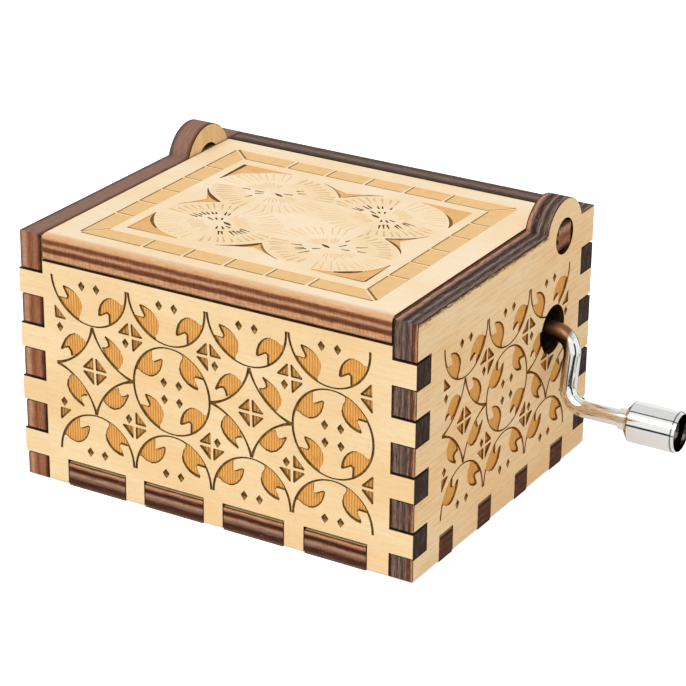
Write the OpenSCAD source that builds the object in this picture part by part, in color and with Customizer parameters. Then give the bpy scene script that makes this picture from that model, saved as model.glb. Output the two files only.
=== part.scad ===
// Hand-cranked music box. A finger-jointed plywood case with a hinged lid holds a
// movement: the crank turns a worm, the worm turns a pinned cylinder, and the pins
// pass under the teeth of a steel comb.
// X points to the crank, Y to the hinge, Z up. The origin is the case's bottom centre.

/* [Case] */
// Width of the case, across its front
case_w = 64; // [60:1:90]
// Depth of the case, from front to back
case_d = 52; // [50:1:80]
// Height of the side panels and of the back panel
case_h = 38; // [36:0.5:50]
// Thickness of the sheet that every panel is cut from
sheet = 3.7; // [3:0.1:4]
// Height of the closed lid's top above the side panels
lid_proud = 0.15; // [0:0.05:0.5]
// Gap between the closed lid and the front panel's top edge
lid_rest_gap = 0.3; // [0.1:0.05:0.5]
// Gap between the lid and each side panel
lid_side_gap = 0.2; // [0.1:0.05:0.5]
// Rounding of the lid's upper front edge
lid_round = 0.6; // [0.3:0.1:1.5]

/* [Finger joints] */
// Height of a finger at the upright corners
finger_h = 3.7; // [3:0.1:4.5]
// Distance from one corner finger to the next
finger_pitch = 8.27; // [7:0.01:10]
// Width of the bottom panel's tabs in the front and back panels
long_tab_w = 9.75; // [6:0.05:11]
// Distance between those tabs
long_tab_pitch = 13.22; // [12:0.01:15]
// Width of the bottom panel's tabs in the side panels
short_tab_w = 3.6; // [3:0.1:6]
// Distance between those tabs
short_tab_pitch = 11.17; // [9:0.01:13]
// Clearance beside and below a finger in its slot
joint_clear = 0.1; // [0.02:0.01:0.15]
// Clearance above a finger in its slot
joint_rise = 0.35; // [0.1:0.05:0.5]
// How far the corner fingers stand out of the left panel
finger_proud = 0.4; // [0:0.05:0.6]
// How far the bottom panel stands below the walls
bottom_proud = 0.25; // [0:0.05:0.5]

/* [Lid hinge] */
// Distance of the hinge axis from the back face
hinge_inset = 9.55; // [9:0.05:12]
// Radius of the ear that carries the hinge hole
ear_r = 5.6; // [4.5:0.1:6.5]
// Clearance of the lid tab's corners in the hinge hole, on the radius
hinge_clear = 0.1; // [0.05:0.01:0.3]
// Clearance of the lid's rear edge to the back panel as it swings
tail_clear = 0.24; // [0.2:0.01:0.6]

/* [Crank] */
// Diameter of the crank's wire
wire_d = 2.5; // [2:0.1:3]
// Distance of the crank's axis from the back face
crank_inset = 12.1; // [11.7:0.1:14]
// Height of the crank's axis
crank_h = 22.87; // [21:0.01:25]
// Diameter of the crank's hole in the right panel
crank_hole_d = 7.3; // [6:0.1:9]
// Distance of the crank arm's centre from the right panel
arm_out = 3.5; // [3:0.1:6]
// Distance between the crank's axis and the knob's axis
arm_len = 10.43; // [8:0.01:14]
// Tilt of the arm to the front from straight down, in degrees
arm_tilt = 10.3; // [0:0.1:45]
// Radius of the wire's bends, at its centre line
bend_r = 3; // [2:0.1:3.5]
// Distance of the knob's inner end from the right panel
knob_out = 13.7; // [12:0.1:18]
// Diameter of the knob
knob_d = 6; // [5:0.1:9]
// Length of the knob
knob_len = 7.8; // [6:0.1:12]
// Chamfer of the knob's ends, along the knob
knob_chamfer = 0.5; // [0.2:0.1:0.6]
// Thickness of the knob's rim round the recess in its outer end
knob_rim = 0.3; // [0.25:0.05:0.6]
// Share of the rim's thickness that slopes off at its outer end
knob_lip_share = 0.7; // [0.3:0.1:0.9]
// Depth of the recess in the knob's outer end
knob_recess = 1.8; // [1:0.1:2.5]
// Clearance of the knob's bore on the wire, on the radius
knob_clear = 0.08; // [0.03:0.01:0.1]
// Gap between the knob and what holds it at each end
knob_play = 0.1; // [0.05:0.01:0.3]
// Diameter of the collar swaged on the wire behind the knob
collar_d = 3.2; // [2.7:0.1:3.6]
// Length of that collar
collar_len = 1.4; // [0.8:0.1:2]
// Diameter of the wire's riveted head in the recess
head_d = 3.4; // [3.1:0.1:3.8]
// Thickness of the riveted head
head_t = 0.6; // [0.4:0.1:0.8]

/* [Worm and wheel] */
// Number of teeth on the worm wheel
wheel_teeth = 15; // [14:1:15]
// Thickness of the worm wheel
wheel_w = 2.6; // [2:0.1:2.8]
// Pitch diameter of the worm
worm_pitch_d = 5.7; // [5.4:0.1:6.2]
// Step from the tube's radius down to the wheel's pitch circle
wheel_step = 0.5; // [0.4:0.05:0.8]
// Height of a tooth above the pitch line, as a share of the gears' module
addendum_share = 0.8375; // [0.75:0.0125:0.9]
// Extra depth of the tooth spaces below the meshing tooth's tip, as a share of the module
root_share = 0.225; // [0.15:0.025:0.3]
// Clearance of a tooth on each flank, as a share of the module
mesh_share = 0.4375; // [0.375:0.0125:0.5]
// Number of turns of the worm's thread
worm_turns = 4; // [3:1:4]
// Diameter of the collars at the worm's ends
worm_hub_d = 5; // [4.6:0.1:6]

/* [Cylinder] */
// Number of notes: tracks on the cylinder and teeth on the comb
notes = 18; // [12:1:18]
// Gap between the pins' ends and the bedplate
cylinder_lift = 1.17; // [1:0.01:1.5]
// Wall of the tube
tube_wall = 0.5; // [0.4:0.05:0.8]
// Thickness of the discs that close the tube
disc_t = 1.6; // [1:0.1:2.5]
// Depth of the discs in the tube's ends
disc_inset = 0.6; // [0.3:0.1:1]
// Height of a pin above the tube
pin_h = 0.45; // [0.3:0.05:0.5]
// Diameter of a pin
pin_d = 0.45; // [0.3:0.05:0.5]
// Number of steps of the tune around the cylinder
tune_steps = 30; // [24:1:36]
// Distance of the cylinder's axis to the right of the case's centre
cylinder_x = 8; // [6:0.1:9]
// Gap between the tube's end and the wheel
wheel_gap = 2; // [1.7:0.1:3]
// Diameter of the wheel's hub
wheel_hub_d = 5.2; // [4:0.1:6]
// Diameter of the arbor that carries the cylinder
arbor_d = 2.2; // [1.8:0.1:2.4]
// Diameter of the collars on the arbor
arbor_collar_d = 3.6; // [3:0.1:4.4]

/* [Comb] */
// Gap between the comb's tips and the circle of the pins' ends
tip_gap = 0.15; // [0.1:0.01:0.3]
// Gap between two teeth
tooth_gap = 0.4; // [0.3:0.05:0.6]
// Thickness of a tooth
tooth_t = 0.9; // [0.6:0.05:1.2]
// Length of the lowest note's tooth
bass_len = 15.5; // [14:0.1:16]
// Length of the highest note's tooth
treble_len = 9; // [7:0.1:12]
// Thickness of the comb's base
comb_t = 2; // [1.6:0.1:3]
// Distance from the comb's tips to its back edge
comb_reach = 24.9; // [24:0.1:26]
// Number of teeth that carry a tuning weight
weight_count = 7; // [4:1:9]
// Length of a tuning weight
weight_len = 3; // [2:0.1:4]
// Height of a tuning weight
weight_h = 1.6; // [1:0.1:2]
// Distance of the tuning weights from the tooth's tip
weight_inset = 1.1; // [0.8:0.1:2]

/* [Bedplate and brackets] */
// Thickness of the bedplate
bed_t = 2.2; // [1.8:0.1:2.4]
// Rounding of the bedplate's corners
bed_corner = 2.5; // [1:0.1:4]
// Edge of the bedplate outside what stands on it
bed_margin = 1; // [0.5:0.1:1.2]
// Gap between the front panel and the bedplate
bed_front_gap = 2; // [1:0.1:3]
// Width of the raised seat under the comb
seat_w = 9; // [8:0.1:9.5]
// Thickness of the brackets' uprights
bracket_t = 1.6; // [1.2:0.1:1.8]
// Thickness of the brackets' feet
foot_t = 1.2; // [1:0.1:1.6]
// Length of a foot, where the screw goes
foot_len = 4.6; // [4.4:0.1:5]
// Radius of the rounded top around a bearing
bearing_r = 3.2; // [2.6:0.1:4]
// Depth of the crank's bracket along the cylinder
crank_bracket_w = 5.6; // [5:0.1:5.6]
// Gap between moving and fixed parts of the movement
free_gap = 0.7; // [0.5:0.05:0.9]
// Clearance of a shaft in its bearing, on the radius
run_clear = 0.06; // [0.03:0.01:0.1]
// End play of a shaft between its bearings
end_play = 0.3; // [0.1:0.05:0.5]
// Thickness of the clip that holds the crank's shaft
clip_t = 0.6; // [0.4:0.1:1]
// Diameter of the clip
clip_d = 4.8; // [4:0.1:5.5]

/* [Screws] */
// Diameter of the bracket screws
small_screw_d = 1.8; // [1.6:0.1:2]
// Diameter of the bracket screws' heads
small_head_d = 3.4; // [3:0.1:3.6]
// Diameter of the comb screws
comb_screw_d = 2.4; // [2:0.1:3]
// Diameter of the comb screws' heads
comb_head_d = 4.8; // [4:0.1:5.5]
// Distance of the comb screws from the comb's ends
comb_screw_inset = 5.5; // [4:0.1:6]
// Depth of the comb screws in the bedplate
comb_screw_bite = 4; // [3:0.1:5]
// Diameter of the bedplate screws
base_screw_d = 2.6; // [2.2:0.1:3]
// Diameter of the bedplate screws' countersunk heads
base_head_d = 5; // [4.4:0.1:5.5]
// Depth of those heads below the case's underside
head_sink = 0.2; // [0.1:0.05:0.5]
// Height of the round screw heads
head_h = 1.1; // [0.8:0.1:1.3]
// Width of the slots in the screw heads
slot_w = 0.5; // [0.3:0.1:0.6]
// Clearance of screws and pressed parts in their holes, on the radius
fit_clear = 0.04; // [0.02:0.01:0.08]

/* [Hidden] */
$fn = 64;
pressure_angle = 20;
tube_spare = 0.2;

// Case
half_w = case_w / 2;
half_d = case_d / 2;
in_x = half_w - sheet;
in_y = half_d - sheet;
lid_top = case_h + lid_proud;
lid_low = lid_top - sheet;
front_top = lid_low - lid_rest_gap;
corner_fingers = floor((front_top - sheet - finger_h) / finger_pitch) + 1;
long_tabs = floor((2 * in_x - long_tab_w) / long_tab_pitch) + 1;
short_tabs = floor((2 * in_y - short_tab_w) / short_tab_pitch) + 1;

// Lid hinge: the lid's square tabs turn in round holes
hinge_y = half_d - hinge_inset;
hinge_z = lid_top - sheet / 2;
hinge_hole_r = sheet / 2 * sqrt(2) + hinge_clear;
lid_half_w = in_x - lid_side_gap;
tail_reach = hinge_inset - sheet - tail_clear;
lid_tail = sqrt(tail_reach * tail_reach - sheet * sheet / 4);

// Cylinder and wheel, as large as fits between the worm and the bedplate
bed_top = sheet + bed_t;
worm_pitch_r = worm_pitch_d / 2;
tube_r = (crank_h - bed_top - worm_pitch_r - pin_h - cylinder_lift + wheel_step) / 2;
pin_reach = tube_r + pin_h;
wheel_pitch_r = tube_r - wheel_step;
cylinder_z = crank_h - worm_pitch_r - wheel_pitch_r;

// Gears
gear_module = 2 * wheel_pitch_r / wheel_teeth;
addendum = addendum_share * gear_module;
root_clear = root_share * gear_module;
gear_pitch = PI * gear_module;
gear_tooth_t = gear_pitch / 2 - mesh_share * gear_module;
flank = tan(pressure_angle);
worm_tip_r = worm_pitch_r + addendum;
worm_core_r = worm_pitch_r - addendum - root_clear;
wheel_tip_r = wheel_pitch_r + addendum;
wheel_root_r = wheel_pitch_r - addendum - root_clear;

// Crank
wire_r = wire_d / 2;
crank_y = half_d - crank_inset;
arm_x = half_w + arm_out;
knob_x = half_w + knob_out;
head_x = knob_x + knob_len - knob_recess + knob_play;

// Cylinder, as long as fits between the wheel and the front bracket
bed_y0 = -in_y + bed_front_gap;
front_upright = bed_y0 + bed_margin;
tube_start = front_upright + bracket_t + end_play + free_gap;
wheel_y = crank_y - wheel_w / 2;
tube_end = wheel_y - wheel_gap;
tube_len = tube_end - tube_start;
arbor_r = arbor_d / 2;
track_pitch = tube_len / (notes + tube_spare);
first_track = (tube_start + tube_end - (notes - 1) * track_pitch) / 2;

// Brackets
crank_leg_y = crank_y - crank_bracket_w / 2;
rear_upright = crank_leg_y + crank_bracket_w + end_play;
leg_in = wheel_tip_r + free_gap;
leg_out = leg_in + bracket_t;
bridge_z = crank_h + worm_tip_r + free_gap;
foot_mid = tube_r + foot_len / 2;
crank_foot_mid = leg_out + foot_len / 2;
clip_x = cylinder_x - leg_out - end_play - clip_t;
shaft_end = clip_x - clip_t;

// Comb, beside the cylinder at its axis
tooth_w = track_pitch - tooth_gap;
tip_x = cylinder_x - pin_reach - tip_gap;
comb_x = tip_x - comb_reach;
comb_y0 = first_track - track_pitch / 2;
comb_y1 = comb_y0 + notes * track_pitch;
comb_low = cylinder_z - comb_t / 2;
comb_high = comb_low + comb_t;
comb_screw_x = comb_x + seat_w / 2;
comb_screw_y = [comb_y0 + comb_screw_inset, comb_y1 - comb_screw_inset];

// Bedplate's outline and the places of its screws
bed_x0 = comb_x - bed_margin;
bed_x1 = cylinder_x + leg_out + foot_len + bed_margin;
bed_y1 = rear_upright + foot_len;
foot_screws = [for (side = [-1, 1], y = [front_upright + foot_len / 2, rear_upright + foot_len / 2])
    [cylinder_x + side * foot_mid, y]];
crank_screws = [for (side = [-1, 1]) [cylinder_x + side * crank_foot_mid, crank_y]];
base_inset = base_head_d / 2 + bed_margin;
base_screws = [
    [bed_x0 + base_inset, bed_y1 - base_inset],
    [comb_x + seat_w + base_inset, bed_y0 + base_inset],
    [bed_x1 - base_inset, bed_y0 + foot_len + base_inset]
];

// Places along a row of n copies, centred on zero
function row(n, pitch) = [for (i = [0:n - 1]) (i - (n - 1) / 2) * pitch];
// Lower end of each corner finger
function finger_levels() = [for (i = [0:corner_fingers - 1]) sheet + i * finger_pitch];
// Length of tooth i, from bass to treble
function tooth_len(i) = bass_len + (treble_len - bass_len) * i / (notes - 1);
// True where the tune has a pin on this track at this step
function has_pin(track, step) = (step * 5 + track * 7 + floor(step / 4) * track) % 11 == 0;

// Extrudes a shape drawn in X and Z from y0 to the back
module along_y(y0, len) {
    translate([0, y0 + len, 0]) rotate([90, 0, 0]) linear_extrude(len) children();
}

// Extrudes a shape drawn in Y and Z from x0 to the right
module along_x(x0, len) {
    translate([x0, 0, 0]) rotate([90, 0, 90]) linear_extrude(len) children();
}

module rod_y(x, z, y0, len, r) {
    translate([x, y0, z]) rotate([-90, 0, 0]) cylinder(h = len, r = r);
}

module rod_x(x0, len, r) {
    translate([x0, 0, 0]) rotate([0, 90, 0]) cylinder(h = len, r = r);
}

// Front or back panel: fingers at both ends, slots for the bottom panel's tabs
module wall_outline(top) {
    difference() {
        union() {
            translate([-in_x, bottom_proud]) square([2 * in_x, top - bottom_proud]);
            for (z = finger_levels())
                translate([-half_w - finger_proud, z]) square([case_w + finger_proud, finger_h]);
        }
        for (x = row(long_tabs, long_tab_pitch))
            translate([x - long_tab_w / 2 - joint_clear, -sheet])
                square([long_tab_w + 2 * joint_clear, 2 * sheet + joint_rise]);
    }
}

module front_panel() {
    color("#f3d9a4") along_y(-half_d, sheet) wall_outline(front_top);
}

module back_panel() {
    color("#f3d9a4") along_y(in_y, sheet) wall_outline(case_h);
}

module bottom_panel() {
    color("#e6c48a") difference() {
        linear_extrude(sheet) {
            translate([-in_x, -in_y]) square([2 * in_x, 2 * in_y]);
            for (x = row(long_tabs, long_tab_pitch))
                translate([x - long_tab_w / 2, -half_d]) square([long_tab_w, case_d]);
            for (y = row(short_tabs, short_tab_pitch))
                translate([-half_w, y - short_tab_w / 2]) square([case_w, short_tab_w]);
        }
        for (p = base_screws) translate([p[0], p[1], 0]) base_screw_space(fit_clear);
    }
}

// Side panel: slots for the front's, back's and bottom's fingers, and the hinge ear
module side_outline() {
    difference() {
        union() {
            translate([-half_d, bottom_proud]) square([case_d, case_h - bottom_proud]);
            translate([hinge_y, hinge_z]) circle(ear_r);
        }
        translate([hinge_y, hinge_z]) circle(hinge_hole_r);
        for (z = finger_levels(), side = [0, 1])
            mirror([side, 0]) translate([in_y, z - joint_clear])
                square([2 * sheet, finger_h + joint_clear + joint_rise]);
        for (y = row(short_tabs, short_tab_pitch))
            translate([y - short_tab_w / 2 - joint_clear, -sheet])
                square([short_tab_w + 2 * joint_clear, 2 * sheet + joint_rise]);
    }
}

module left_panel() {
    color("#e9c992") along_x(-half_w, sheet) side_outline();
}

module right_panel() {
    color("#e9c992") along_x(in_x, sheet) difference() {
        side_outline();
        translate([crank_y, crank_h]) circle(crank_hole_d / 2);
    }
}

// Lid between the side panels, with a square tab in each hinge hole
module lid() {
    lid_len = hinge_y + lid_tail + half_d;
    color("#f6e3b8") {
        along_x(-lid_half_w, 2 * lid_half_w) translate([-half_d, lid_low]) difference() {
            square([lid_len, sheet]);
            translate([0, sheet - lid_round]) difference() {
                square(lid_round);
                translate([lid_round, 0]) circle(lid_round);
            }
        }
        along_x(-half_w, case_w) translate([hinge_y, hinge_z]) square(sheet, center = true);
    }
}

// Flat plate with rounded corners, from corner a to corner b
module rounded_plate(a, b, r, t) {
    linear_extrude(t) {
        translate([a[0] + r, a[1]]) square([b[0] - a[0] - 2 * r, b[1] - a[1]]);
        translate([a[0], a[1] + r]) square([b[0] - a[0], b[1] - a[1] - 2 * r]);
        for (x = [a[0] + r, b[0] - r], y = [a[1] + r, b[1] - r]) translate([x, y]) circle(r);
    }
}

// Bedplate with the comb's raised seat
module bedplate() {
    color("#b9b7b0") difference() {
        union() {
            translate([0, 0, sheet]) rounded_plate([bed_x0, bed_y0], [bed_x1, bed_y1], bed_corner, bed_t);
            translate([comb_x, comb_y0, sheet]) cube([seat_w, comb_y1 - comb_y0, comb_low - sheet]);
        }
        for (p = base_screws) translate([p[0], p[1], 0]) base_screw_space(fit_clear);
        for (p = concat(foot_screws, crank_screws))
            translate([p[0], p[1], 0]) cylinder(h = 2 * bed_top, r = small_screw_d / 2 + fit_clear);
        for (y = comb_screw_y) translate([comb_screw_x, y, comb_low - comb_screw_bite - 2 * head_sink])
            cylinder(h = comb_low, r = comb_screw_d / 2 + fit_clear);
    }
}

// Countersunk screw from the case's underside, grown by a clearance for its hole
module base_screw_space(grow) {
    cone_h = (base_head_d - base_screw_d) / 2;
    translate([0, 0, head_sink]) cylinder(h = cone_h, r1 = base_head_d / 2 + grow, r2 = base_screw_d / 2 + grow);
    if (grow > 0) translate([0, 0, -sheet]) cylinder(h = sheet + head_sink, r = base_head_d / 2 + grow);
    translate([0, 0, head_sink]) cylinder(h = bed_top - 2 * head_sink + 2 * grow, r = base_screw_d / 2 + grow);
}

module bedplate_screws() {
    color("#8c8f94") for (p = base_screws) translate([p[0], p[1], 0]) difference() {
        base_screw_space(0);
        for (turn = [0, 90]) rotate(turn)
            translate([-base_head_d / 4, -slot_w / 2, 0]) cube([base_head_d / 2, slot_w, head_sink + head_h / 2]);
    }
}

// Round-headed slotted screw; its head stands on z = 0
module round_screw(d, head, bite) {
    translate([0, 0, -bite]) cylinder(h = bite + head_h / 2, r = d / 2);
    difference() {
        cylinder(h = head_h, r1 = head / 2, r2 = head / 2 - head_h / 4);
        translate([-head, -slot_w / 2, head_h / 2]) cube([2 * head, slot_w, head_h]);
    }
}

module comb_screws() {
    color("#9a9da2") for (y = comb_screw_y) translate([comb_screw_x, y, comb_high])
        round_screw(comb_screw_d, comb_head_d, comb_t + comb_screw_bite);
}

// Steel comb: a thick base with a slanting front edge, and one tooth for each track
module comb() {
    root_bass = tip_x - bass_len;
    root_treble = tip_x - treble_len;
    color("#c8cacd") difference() {
        union() {
            translate([0, 0, comb_low]) linear_extrude(comb_t)
                polygon([[comb_x, comb_y0], [root_bass, comb_y0], [root_treble, comb_y1], [comb_x, comb_y1]]);
            for (i = [0:notes - 1])
                translate([comb_x + seat_w, first_track + i * track_pitch - tooth_w / 2, cylinder_z - tooth_t / 2])
                    cube([tip_x - comb_x - seat_w, tooth_w, tooth_t]);
        }
        for (y = comb_screw_y) translate([comb_screw_x, y, comb_low - comb_t])
            cylinder(h = 3 * comb_t, r = comb_screw_d / 2 + 2 * fit_clear);
    }
}

// Weights under the tips of the bass teeth
module tuning_weights() {
    color("#6e7074") for (i = [0:weight_count - 1])
        translate([tip_x - weight_inset - weight_len, first_track + i * track_pitch - tooth_w / 2,
            cylinder_z - tooth_t / 2 - weight_h])
            cube([weight_len, tooth_w, weight_h]);
}

// Upright with the arbor's bearing, on two feet beside the cylinder
module bearing_bracket(y0) {
    difference() {
        union() {
            along_y(y0, bracket_t) {
                polygon([[cylinder_x - tube_r, bed_top], [cylinder_x + tube_r, bed_top],
                    [cylinder_x + bearing_r, cylinder_z], [cylinder_x - bearing_r, cylinder_z]]);
                translate([cylinder_x, cylinder_z]) circle(bearing_r);
            }
            for (side = [-1, 1])
                translate([cylinder_x + side * foot_mid - foot_len / 2 - bracket_t / 2, y0, bed_top])
                    cube([foot_len + bracket_t, foot_len, foot_t]);
        }
        rod_y(cylinder_x, cylinder_z, y0 - bracket_t, 3 * bracket_t, arbor_r + run_clear);
        for (side = [-1, 1]) translate([cylinder_x + side * foot_mid, y0 + foot_len / 2, 0])
            cylinder(h = 2 * bed_top, r = small_screw_d / 2 + fit_clear);
    }
}

module front_bearing_bracket() {
    color("#cfd1d4") bearing_bracket(front_upright);
}

module rear_bearing_bracket() {
    color("#cfd1d4") bearing_bracket(rear_upright);
}

module bearing_bracket_screws() {
    color("#9a9da2") for (p = foot_screws) translate([p[0], p[1], bed_top + foot_t])
        round_screw(small_screw_d, small_head_d, foot_t + bed_t - head_sink);
}

// Bridge over the worm: its two legs are the crank shaft's bearings
module crank_bearing_bracket() {
    color("#cfd1d4") translate([cylinder_x, crank_leg_y, 0]) difference() {
        union() {
            for (side = [0, 1]) mirror([side, 0, 0]) {
                translate([leg_in, 0, bed_top]) cube([bracket_t, crank_bracket_w, bridge_z + foot_t - bed_top]);
                translate([leg_in, 0, bed_top]) cube([bracket_t + foot_len, crank_bracket_w, foot_t]);
            }
            translate([-leg_out, 0, bridge_z]) cube([2 * leg_out, crank_bracket_w, foot_t]);
        }
        translate([0, crank_bracket_w / 2, crank_h]) rod_x(-2 * leg_out, 4 * leg_out, wire_r + run_clear);
        for (side = [-1, 1]) translate([side * crank_foot_mid, crank_bracket_w / 2, 0])
            cylinder(h = 2 * bed_top, r = small_screw_d / 2 + fit_clear);
    }
}

module crank_bracket_screws() {
    color("#9a9da2") for (p = crank_screws) translate([p[0], p[1], bed_top + foot_t])
        round_screw(small_screw_d, small_head_d, foot_t + bed_t - head_sink);
}

module cylinder_tube() {
    color("#d9b45b") difference() {
        rod_y(cylinder_x, cylinder_z, tube_start, tube_len, tube_r);
        rod_y(cylinder_x, cylinder_z, tube_start - disc_t, tube_len + 2 * disc_t, tube_r - tube_wall);
    }
}

// Pins of the tune, pressed half through the tube's wall
module cylinder_pins() {
    color("#e4cf95") for (track = [0:notes - 1], step = [0:tune_steps - 1]) if (has_pin(track, step))
        translate([cylinder_x, first_track + track * track_pitch, cylinder_z])
            rotate([0, step * 360 / tune_steps, 0])
                translate([0, 0, tube_r - tube_wall / 2]) cylinder(h = pin_h + tube_wall / 2, r = pin_d / 2, $fn = 8);
}

module cylinder_end_discs() {
    color("#c9a24a") for (y = [tube_start + disc_inset, tube_end - disc_inset - disc_t]) difference() {
        rod_y(cylinder_x, cylinder_z, y, disc_t, tube_r - tube_wall - fit_clear);
        rod_y(cylinder_x, cylinder_z, y - disc_t, 3 * disc_t, arbor_r + fit_clear);
    }
}

// Arbor, with a collar at each end between the cylinder and its bearings
module cylinder_arbor() {
    front_collar = front_upright + bracket_t + end_play;
    rear_collar = wheel_y + wheel_w;
    color("#d5d7da") {
        rod_y(cylinder_x, cylinder_z, front_upright + end_play / 2,
            rear_upright + bracket_t - front_upright - end_play, arbor_r);
        rod_y(cylinder_x, cylinder_z, front_collar, tube_start + disc_inset - front_collar, arbor_collar_d / 2);
        rod_y(cylinder_x, cylinder_z, rear_collar, rear_upright - end_play - rear_collar, arbor_collar_d / 2);
    }
}

// Half thickness of a gear tooth at a height above the pitch line
function half_tooth(h) = gear_tooth_t / 2 - h * flank;

// Worm wheel, with one tooth straight up under the worm
module worm_wheel() {
    tip = half_tooth(addendum);
    root = half_tooth(-addendum - root_clear);
    hub_start = tube_end - disc_inset;
    color("#e9e4d2") difference() {
        union() {
            along_y(wheel_y, wheel_w) translate([cylinder_x, cylinder_z]) {
                circle(wheel_root_r);
                for (i = [0:wheel_teeth - 1]) rotate(i * 360 / wheel_teeth)
                    polygon([[-root, wheel_root_r - root_clear], [root, wheel_root_r - root_clear],
                        [root, wheel_root_r], [tip, wheel_tip_r], [-tip, wheel_tip_r], [-root, wheel_root_r]]);
            }
            rod_y(cylinder_x, cylinder_z, hub_start, wheel_y - hub_start, wheel_hub_d / 2);
        }
        rod_y(cylinder_x, cylinder_z, hub_start - wheel_w, 4 * wheel_w, arbor_r + fit_clear);
    }
}

// Crank bent from one wire, with the knob's collar and riveted head
module crank() {
    color("#dcdfe3") translate([0, crank_y, crank_h]) rotate([-arm_tilt, 0, 0]) {
        rod_x(shaft_end, arm_x - bend_r - shaft_end, wire_r);
        translate([arm_x - bend_r, 0, -bend_r]) wire_bend(0);
        translate([arm_x, 0, bend_r - arm_len]) cylinder(h = arm_len - 2 * bend_r, r = wire_r);
        translate([arm_x + bend_r, 0, bend_r - arm_len]) wire_bend(180);
        translate([0, 0, -arm_len]) {
            rod_x(arm_x + bend_r, head_x - arm_x - bend_r + head_t / 2, wire_r);
            rod_x(knob_x - knob_play - collar_len, collar_len, collar_d / 2);
            rod_x(head_x, head_t, head_d / 2);
        }
    }
}

module wire_bend(turn) {
    rotate([90, 0, 0]) rotate(turn) rotate_extrude(angle = 90) translate([bend_r, 0]) circle(wire_r);
}

// Worm between the bracket's legs; a space of its thread meets the wheel's upper tooth
module worm() {
    half_len = leg_in - end_play;
    color("#d9b45b") translate([cylinder_x, crank_y, crank_h]) difference() {
        union() {
            rod_x(-half_len, 2 * half_len, worm_core_r);
            for (x = [-half_len, half_len - bracket_t / 2]) rod_x(x, bracket_t / 2, worm_hub_d / 2);
            worm_thread();
        }
        rod_x(-2 * half_len, 4 * half_len, wire_r + fit_clear);
    }
}

// Right-hand thread about X as one closed sweep of its section
module worm_thread() {
    step = 15;
    steps = worm_turns * 360 / step;
    foot_r = worm_core_r - root_clear;
    tip = half_tooth(addendum);
    root = half_tooth(foot_r - worm_pitch_r);
    section = [[-root, foot_r], [-tip, worm_tip_r], [tip, worm_tip_r], [root, foot_r]];
    k = len(section);
    points = [for (i = [0:steps], s = section)
        let (a = i * step - 90 + 180 * (worm_turns % 2 + 1))
        [(i / steps - 0.5) * worm_turns * gear_pitch + s[0], s[1] * cos(a), s[1] * sin(a)]];
    sides = [for (i = [0:steps - 1], j = [0:k - 1], half = [0, 1])
        let (a = i * k + j, b = i * k + (j + 1) % k)
        half == 0 ? [a, b, a + k] : [b, b + k, a + k]];
    ends = [[for (j = [0:k - 1]) k - 1 - j], [for (j = [0:k - 1]) steps * k + j]];
    polyhedron(points = points, faces = concat(sides, ends));
}

module shaft_clip() {
    color("#8c8f94") translate([clip_x, crank_y, crank_h]) difference() {
        rod_x(0, clip_t, clip_d / 2);
        rod_x(-clip_t, 3 * clip_t, wire_r + fit_clear);
    }
}

// Knob that turns freely on the wire's end
module crank_knob() {
    bore = wire_r + knob_clear;
    r = knob_d / 2;
    recess_r = r - knob_rim;
    lip_r = r - knob_rim * knob_lip_share;
    color("#dcdfe3") translate([knob_x, crank_y, crank_h]) rotate([-arm_tilt, 0, 0]) translate([0, 0, -arm_len])
        rotate([0, 90, 0]) rotate_extrude() polygon([[bore, 0], [r - knob_chamfer, 0], [r, knob_chamfer],
            [r, knob_len - knob_chamfer], [lip_r, knob_len], [recess_r, knob_len],
            [recess_r, knob_len - knob_recess], [bore, knob_len - knob_recess]]);
}

bottom_panel();
front_panel();
back_panel();
left_panel();
right_panel();
lid();
bedplate();
bedplate_screws();
comb();
comb_screws();
tuning_weights();
front_bearing_bracket();
rear_bearing_bracket();
bearing_bracket_screws();
crank_bearing_bracket();
crank_bracket_screws();
cylinder_tube();
cylinder_pins();
cylinder_end_discs();
cylinder_arbor();
worm_wheel();
crank();
worm();
shaft_clip();
crank_knob();
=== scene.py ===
import random
from math import acos, atan2, cos, degrees, hypot, pi, radians, sin, sqrt

import bpy
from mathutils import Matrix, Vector, geometry


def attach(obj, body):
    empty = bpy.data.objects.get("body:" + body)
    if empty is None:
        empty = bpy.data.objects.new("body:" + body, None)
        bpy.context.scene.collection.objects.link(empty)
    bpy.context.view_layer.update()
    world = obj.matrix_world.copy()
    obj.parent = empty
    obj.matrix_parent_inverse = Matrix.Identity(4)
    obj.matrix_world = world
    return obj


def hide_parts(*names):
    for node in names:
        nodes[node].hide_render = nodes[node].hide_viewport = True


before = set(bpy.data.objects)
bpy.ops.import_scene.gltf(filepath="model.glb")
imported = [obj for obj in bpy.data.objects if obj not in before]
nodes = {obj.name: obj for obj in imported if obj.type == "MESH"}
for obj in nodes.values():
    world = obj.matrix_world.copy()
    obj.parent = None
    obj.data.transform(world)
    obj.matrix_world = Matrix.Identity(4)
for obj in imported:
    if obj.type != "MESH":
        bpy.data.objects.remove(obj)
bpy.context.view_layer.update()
mm = 0.001
white = (1, 1, 1, 1)
print("frame loaded:", len(nodes), "nodes")


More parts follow.
